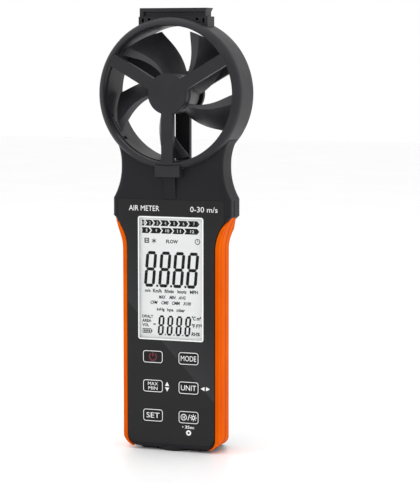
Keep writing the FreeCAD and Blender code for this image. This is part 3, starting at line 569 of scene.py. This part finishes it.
def makePanelPrint(look):
    bm = bmesh.new()
    for words, x, width, height in look["words"]:
        addWords(bm, words, x, look["wordsZ"], width, height)
    upDown, leftRight = look["upDown"], look["leftRight"]
    maxX, maxZ = keyMiddle("maxmin_key")
    unitX, unitZ = keyMiddle("unit_key")
    for way in (1, -1):
        x, z, half = maxX + upDown["aside"], maxZ, upDown["half"]
        near, far = way * upDown["near"], way * upDown["far"]
        addPlate(bm, [(x - half, z + near), (x + half, z + near), (x, z + far)])
        x, z, half = unitX + leftRight["aside"], unitZ, leftRight["half"]
        near, far = way * leftRight["near"], way * leftRight["far"]
        addPlate(bm, [(x + near, z - half), (x + near, z + half), (x + far, z)])
    x, z = keyMiddle("hold_key")
    head, time, ring = look["pressHead"], look["pressTime"], look["pressRing"]
    headX, headZ, half = x + head["aside"], z - head["down"], head["half"]
    addPlate(bm, [(headX, headZ - half), (headX, headZ + half), (headX + head["length"], headZ)])
    addWords(bm, time["words"], x + time["aside"], z - time["down"], time["width"], time["height"],
             bold=time["bold"])
    addRing(bm, x, z - ring["down"], ring["radius"], ring["stroke"])
    finishPrint("panelPrint", bm, panelY, "whiteInk", "handset")


makePanelPrint(panelPrint)

# a pale line of glue shows round the window's edge
rimLook = dict(width=32.4, height=57.7, radius=1.1, stroke=0.55)


def makeRim(look):
    bm = bmesh.new()
    addFrame(bm, 0, displayMiddle, look["width"], look["height"], look["radius"], look["stroke"])
    finishPrint("windowRim", bm, windowY, "windowRim", "handset")


makeRim(rimLook)


# outline and legend on each key, which move with it, in millimetres
keyPrint = dict(
    outline=dict(width=9.8, height=5.7, radius=1.25, stroke=0.3),
    power=dict(radius=1.75, stroke=0.55, start=125, sweep=290, barUp=1.2, bar=1.9),
    # words, height of their middle, width and height
    mode=(("MODE", 0, 7.6, 2.5),),
    maxmin=(("MAX", 1.05, 5.0, 1.55), ("MIN", -1.05, 4.6, 1.55)),
    unit=(("UNIT", 0, 7.5, 2.5),),
    set=(("SET", 0, 6.6, 2.5),),
    # letter in a ring, a slash and a sun
    hold=dict(aside=2.4, ring=1.35, ringStroke=0.36, letter="H", letterWidth=1.1, letterHeight=1.3,
              letterBold=0.03, slashAside=0.1, slash=2.9, slashStroke=0.36, slashTurn=72, sun=0.72,
              sunStroke=0.4, rays=8, rayOut=1.35, ray=0.6, rayStroke=0.34),
)


def powerLegend(bm, x, z, look):
    addRing(bm, x, z, look["radius"], look["stroke"], start=look["start"], sweep=look["sweep"])
    addBar(bm, x, z + look["barUp"], look["bar"], look["stroke"], 90)


def wordLegend(bm, x, z, look):
    for words, up, width, height in look:
        addWords(bm, words, x, z + up, width, height)


def holdLegend(bm, x, z, look):
    ringX, sunX = x - look["aside"], x + look["aside"]
    addRing(bm, ringX, z, look["ring"], look["ringStroke"])
    addWords(bm, look["letter"], ringX, z, look["letterWidth"], look["letterHeight"], bold=look["letterBold"])
    addBar(bm, x + look["slashAside"], z, look["slash"], look["slashStroke"], look["slashTurn"])
    addRing(bm, sunX, z, look["sun"], look["sunStroke"])
    for i in range(look["rays"]):
        turn = i * 360 / look["rays"]
        angle = math.radians(turn)
        addBar(bm, sunX + look["rayOut"] * math.cos(angle), z + look["rayOut"] * math.sin(angle),
               look["ray"], look["rayStroke"], turn)


legendKinds = dict(power=powerLegend, mode=wordLegend, maxmin=wordLegend, unit=wordLegend, set=wordLegend,
                   hold=holdLegend)


def makeKeyPrints(look):
    frameLook = look["outline"]
    for name, legend in legendKinds.items():
        key = name + "_key"
        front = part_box(key)[0][1]
        x, z = keyMiddle(key)
        outline = bmesh.new()
        addFrame(outline, x, z, frameLook["width"], frameLook["height"], frameLook["radius"],
                 frameLook["stroke"])
        finishPrint(name + "Outline", outline, front, "whiteInk", key)
        mark = bmesh.new()
        legend(mark, x, z, look[name])
        ink = "redInk" if name == "power" else "whiteInk"
        finishPrint(name + "Legend", mark, front, ink, key)


makeKeyPrints(keyPrint)
print("panel and keys printed")


# the camera stands well back to the right, a little above the middle
cameraSetup = dict(lens=141.3, aim=(0.0195, -0.009374, 0.09913), azimuth=20.0, elevation=5.7,
                   distance=0.8732, clipStart=0.05)


def makeCamera(look):
    azimuth = math.radians(look["azimuth"])
    elevation = math.radians(look["elevation"])
    back = Vector((math.sin(azimuth) * math.cos(elevation), -math.cos(azimuth) * math.cos(elevation),
                   math.sin(elevation)))
    data = bpy.data.cameras.new("camera")
    data.lens = look["lens"]
    data.clip_start = look["clipStart"]
    camera = bpy.data.objects.new("camera", data)
    camera.location = Vector(look["aim"]) + back * look["distance"]
    camera.rotation_euler = back.to_track_quat("Z", "Y").to_euler()
    bpy.context.scene.collection.objects.link(camera)
    bpy.context.scene.camera = camera


makeCamera(cameraSetup)

# pale seamless table, faintly glossy so the foot of the object shows in it
floorLook = dict(size=3.0, dark="fafafa", light="fdfdfd", cloudMm=90, grainMm=2.5, bump=0.01,
                 rough=(0.34, 0.42), ior=1.45, specular=0.3)


def makeFloor(look):
    bm = bmesh.new()
    bmesh.ops.create_grid(bm, x_segments=4, y_segments=4, size=look["size"])
    mesh = bpy.data.meshes.new("table")
    bm.to_mesh(mesh)
    bm.free()
    mesh.materials.append(grainedFinish("lacqueredTable", look))
    table = bpy.data.objects.new("table", mesh)
    bpy.context.scene.collection.objects.link(table)


makeFloor(floorLook)

# one wide soft box overhead, a weaker one from the front left, and an even white room
lightSetup = dict(
    room=1.0,
    boxes=(
        dict(name="overhead", place=(-0.1, -0.1, 1.0), aim=(0, 0, 0.1), size=1.0, power=3.5),
        dict(name="leftFill", place=(-0.9, -0.9, 0.5), aim=(0, 0, 0.12), size=0.6, power=1.0),
    ),
)


def makeLights(look):
    for box in look["boxes"]:
        data = bpy.data.lights.new(box["name"], "AREA")
        data.shape = "SQUARE"
        data.size = box["size"]
        data.energy = box["power"]
        lamp = bpy.data.objects.new(box["name"], data)
        lamp.location = box["place"]
        lamp.rotation_euler = (Vector(box["place"]) - Vector(box["aim"])).to_track_quat("Z", "Y").to_euler()
        bpy.context.scene.collection.objects.link(lamp)
    world = bpy.data.worlds.new("whiteRoom")
    world.use_nodes = True
    world.node_tree.nodes["Background"].inputs["Color"].default_value = (1, 1, 1, 1)
    world.node_tree.nodes["Background"].inputs["Strength"].default_value = look["room"]
    bpy.context.scene.world = world
    bpy.context.scene.view_settings.view_transform = "Standard"


makeLights(lightSetup)
print("camera, table and lights set")
